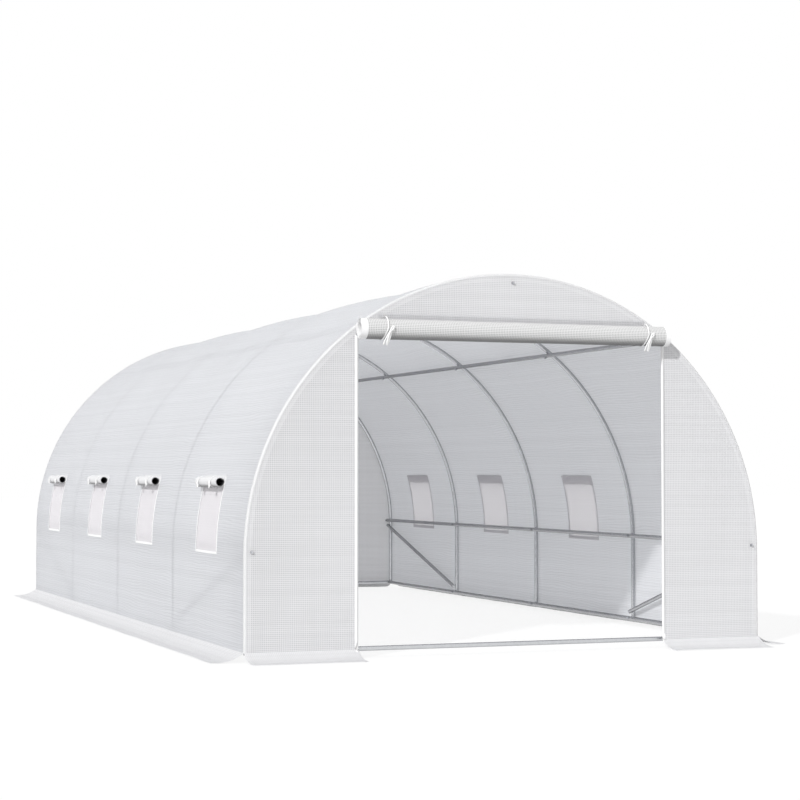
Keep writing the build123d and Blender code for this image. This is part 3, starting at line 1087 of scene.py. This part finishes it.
def window_roll(name, side, window_y):
    """Flap rolled up above the opening, and its two ties."""
    place = place_on(side, along_at_height(window_roll_z))
    _, out = arch_frame(place)
    up = Vector((-out.z if out.x > 0 else out.z, 0, abs(out.x)))
    axis = up.cross(out)
    seat = cover_point(place, window_y, seat_gap)
    rows, cuts = wound_rows(
        seat - axis * window_roll_length / 2, out, up, window_radius - seat_gap / 2, window_pitch,
        window_turns, window_rise, stops([0, window_roll_length], window_roll_cell), window_wobble,
    )
    # The innermost turn takes the painted shade film.
    inmost = lambda row, column: int(column > (window_turns - 1) * roll_steps)
    mesh = film_mesh(f"window_flap_{name}", rows, cuts, material_of=inmost)
    flap = new_piece(f"window_flap_{name}", mesh, [roll_film, painted_shade_film], window_layer)
    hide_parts(f"window_rolls_{side}")
    tie_reach = window_roll_length / 2 - window_tie_inset
    for number, shift in enumerate((-tie_reach, tie_reach), start=1):
        centre = seat + axis * shift + out * window_radius
        tie = tie_roll(
            f"window_tie_{name}_{number}", centre, out, up, window_radius, window_bows,
            window_tie_scale,
        )
        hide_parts(f"window_ties_{side}")


for bay, window_y in zip(bays, window_ys):
    for side in ("left", "right"):
        low_y, high_y = window_y - window_width / 2, window_y + window_width / 2
        window_screen(f"window_screen_{side}_{bay}", side, low_y, high_y)
        window_border(f"window_border_{side}_{bay}", side, low_y, high_y)
        window_roll(f"{side}_{bay}", side, window_y)

# Stitches: white polyester thread, sewn by machine along every seam, hem and border. They are
# one piece for the whole cover.
stitch_sizes = {"Pitch": 0.011, "Half Length": 0.0017, "Half Width": 0.00045}
stitch_lift = 0.0004
tape_inset = 0.004  # of the thread from a tape's edge
foot_seam_rise = 0.006
wall_seam_lift = 0.0006
end_seam_lift = 0.001
border_steps = 8  # pieces of a border's side
twist_size = 1400  # turns of the thread's yarn in a metre
twist_depth = 0.0001
yarn_roughness = 0.7
thread_colour = (0.8, 0.8, 0.8, 1)
stitch_tree, given = new_growth("stitches", stitch_sizes)
seam = add_node(stitch_tree, "GeometryNodeMeshToCurve", {"Mesh": given["Mesh"]})
sockets = {"Curve": seam, "Length": given["Pitch"]}
spaced = add_node(stitch_tree, "GeometryNodeResampleCurve", sockets, mode="LENGTH")
tangent = add_node(stitch_tree, "GeometryNodeInputTangent")
lying = add_node(stitch_tree, "FunctionNodeAlignRotationToVector", {"Vector": tangent}, axis="X")
bead = add_node(stitch_tree, "GeometryNodeMeshIcoSphere", {"Radius": 1, "Subdivisions": 1})
sockets = {0: given["Half Length"], 1: given["Half Width"], 2: given["Half Width"]}
bead_size = add_node(stitch_tree, "ShaderNodeCombineXYZ", sockets)
sockets = {"Points": spaced, "Instance": bead, "Rotation": lying, "Scale": bead_size}
sewn = add_node(stitch_tree, "GeometryNodeInstanceOnPoints", sockets)
end_growth(stitch_tree, sewn, given["Material"])

seams = []
for y, inwards in ((front_y, 1), (back_y, -1)):
    line = []
    for along in arch_stops:
        point, out = arch_frame(along)
        at_end = Vector((0, y - inwards * stitch_lift, 0))
        line.append(point + at_end - out * (corner_radius + seam_width - tape_inset))
    seams.append(line)
seam_y = front_y - jamb_tape_lift - stitch_lift
jamb_inset = jamb_tape_width - tape_inset
for x in (jamb_left - jamb_inset, jamb_right + jamb_inset):
    seams.append([Vector((x, seam_y, z)) for z in (head_z, wall_foot)])
foot_z = wall_foot + foot_seam_rise
seam_x = half_width + wall_seam_lift
for x in (-seam_x, seam_x):
    seams.append([Vector((x, y, foot_z)) for y in (front_y, back_y)])
for low_x, high_x, y in (
    (-end_radius, jamb_left, front_y - end_seam_lift),
    (jamb_right, end_radius, front_y - end_seam_lift),
    (-end_radius, end_radius, back_y + end_seam_lift),
):
    seams.append([Vector((x, y, foot_z)) for x in (low_x, high_x)])
border_middle = border_width / 2
low_along, high_along = sill_along - border_middle, head_along + border_middle
corners = [(low_along, -1), (low_along, 1), (high_along, 1), (high_along, -1), (low_along, -1)]
for window_y in window_ys:
    for side in ("left", "right"):
        line = []
        for (first, first_end), (second, second_end) in zip(corners, corners[1:]):
            for step in range(border_steps + 1):
                along = first + (second - first) * step / border_steps
                end = first_end + (second_end - first_end) * step / border_steps
                y = window_y + end * (window_width / 2 + border_middle)
                line.append(cover_point(place_on(side, along), y, border_lift + stitch_lift))
        seams.append(line)
points, edges = [], []
for line in seams:
    edges += [(k, k + 1) for k in range(len(points), len(points) + len(line) - 1)]
    points += line
seam_mesh = bpy.data.meshes.new("seams")
seam_mesh.from_pydata(points, edges, [])

thread, tree = new_material("sewing_thread")
place = add_node(tree, "ShaderNodeTexCoord").outputs["Object"]
twist = speckle(tree, place, twist_size)
yarn_colour = mix_colours(tree, twist, thread_colour, white)
show(tree, surface_of(tree, yarn_colour, yarn_roughness, twist, twist_depth))
stitch_values = {**stitch_sizes, "Material": thread}
finish_piece(grow("stitches", seam_mesh, stitch_tree, stitch_values))
